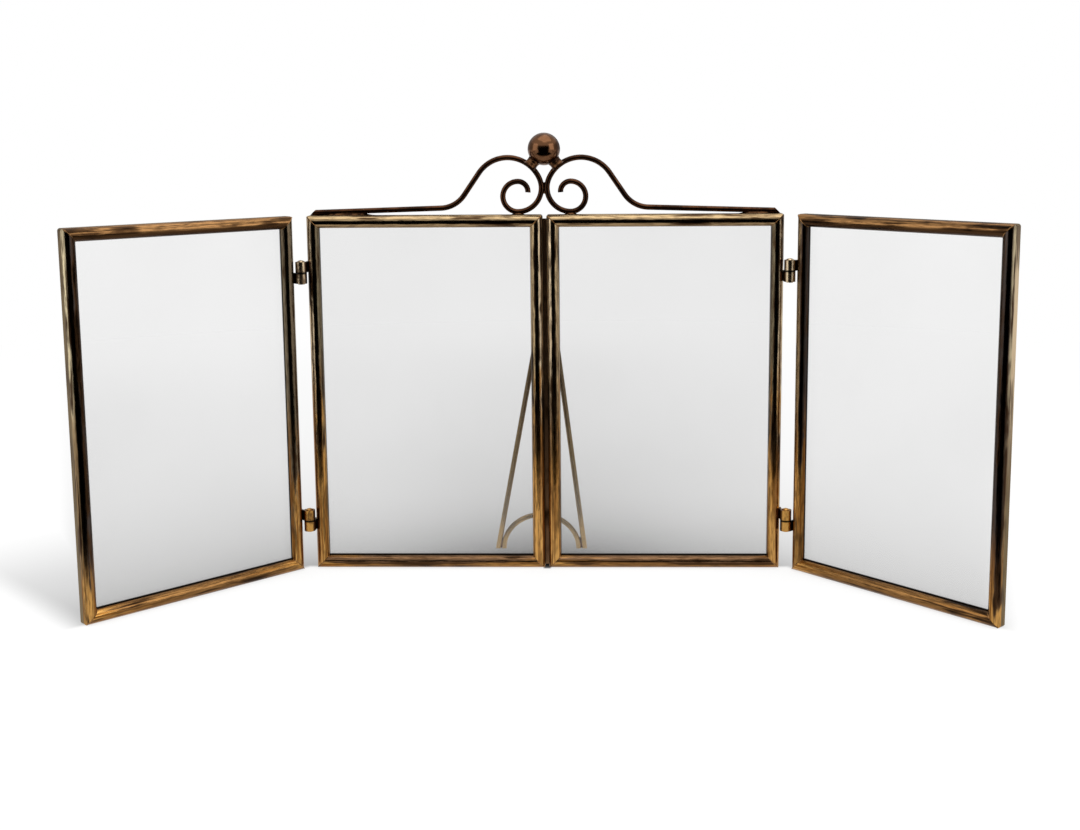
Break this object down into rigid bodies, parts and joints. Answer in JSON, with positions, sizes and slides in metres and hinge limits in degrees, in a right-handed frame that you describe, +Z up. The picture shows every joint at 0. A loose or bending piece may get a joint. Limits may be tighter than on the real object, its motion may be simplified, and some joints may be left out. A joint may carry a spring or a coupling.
{
  "type": "folding picture frame",
  "caption": "Folding triptych picture frame in antique brass with clear glass panes, hinged wings, a scrolled wire crest with a ball finial and a wire easel behind.",
  "frame": {"origin": "on the table, in the middle of the footprint with the wings part folded as shown: 1 mm left of the slit between the centre panes and 22 mm in front of the centre leaf's front plane", "axes": "+X to the right as seen from the front, +Y to the back, +Z up; the front faces -Y"},
  "size_m": [0.3871, 0.1142, 0.2041],
  "materials": {
    "rail_brass": "streaky antiqued lacquer",
    "crest_brass": "dark antiqued lacquer",
    "hinge_brass": "antiqued satin",
    "easel_brass": "satin",
    "tab_brass": "satin",
    "solder": "lacquered solder",
    "glass": "clear float glass"
  },
  "bodies": {
    "centre": {"centre_left_top_rail": "rail_brass", "centre_left_bottom_rail": "rail_brass", "centre_left_outer_rail": "rail_brass", "centre_left_inner_rail": "rail_brass", "centre_left_front_glass": "glass", "centre_left_rear_glass": "glass", "centre_left_tabs": "tab_brass", "centre_left_upper_knuckle": "hinge_brass", "centre_left_lower_knuckle": "hinge_brass", "centre_right_top_rail": "rail_brass", "centre_right_bottom_rail": "rail_brass", "centre_right_outer_rail": "rail_brass", "centre_right_inner_rail": "rail_brass", "centre_right_front_glass": "glass", "centre_right_rear_glass": "glass", "centre_right_tabs": "tab_brass", "centre_right_upper_knuckle": "hinge_brass", "centre_right_lower_knuckle": "hinge_brass", "left_upper_pin": "hinge_brass", "left_lower_pin": "hinge_brass", "right_upper_pin": "hinge_brass", "right_lower_pin": "hinge_brass", "centre_strap": "tab_brass", "crest_left_scroll": "crest_brass", "crest_right_scroll": "crest_brass", "ball_finial": "crest_brass", "finial_solder": "solder", "easel_tube": "hinge_brass"},
    "left_wing": {"left_wing_top_rail": "rail_brass", "left_wing_bottom_rail": "rail_brass", "left_wing_outer_rail": "rail_brass", "left_wing_hinge_rail": "rail_brass", "left_wing_front_glass": "glass", "left_wing_rear_glass": "glass", "left_wing_tabs": "tab_brass", "left_wing_upper_knuckle": "hinge_brass", "left_wing_lower_knuckle": "hinge_brass"},
    "right_wing": {"right_wing_top_rail": "rail_brass", "right_wing_bottom_rail": "rail_brass", "right_wing_outer_rail": "rail_brass", "right_wing_hinge_rail": "rail_brass", "right_wing_front_glass": "glass", "right_wing_rear_glass": "glass", "right_wing_tabs": "tab_brass", "right_wing_upper_knuckle": "hinge_brass", "right_wing_lower_knuckle": "hinge_brass"},
    "easel": {"easel_legs": "easel_brass", "easel_arch": "easel_brass"}
  },
  "joints": [
    {"name": "left_wing_fold", "type": "hinge", "parent": "centre", "child": "left_wing", "pos_m": [-0.111, 0.0218, 0], "axis": [0, 0, 1], "range_deg": [-75.5, 134.5]},
    {"name": "right_wing_fold", "type": "hinge", "parent": "centre", "child": "right_wing", "pos_m": [0.113, 0.0218, 0], "axis": [0, 0, -1], "range_deg": [-76.5, 133.5]},
    {"name": "easel_fold", "type": "hinge", "parent": "centre", "child": "easel", "pos_m": [0.001, 0.03105, 0.1054], "axis": [1, 0, 0], "range_deg": [-13.5, 47]}
  ]
}
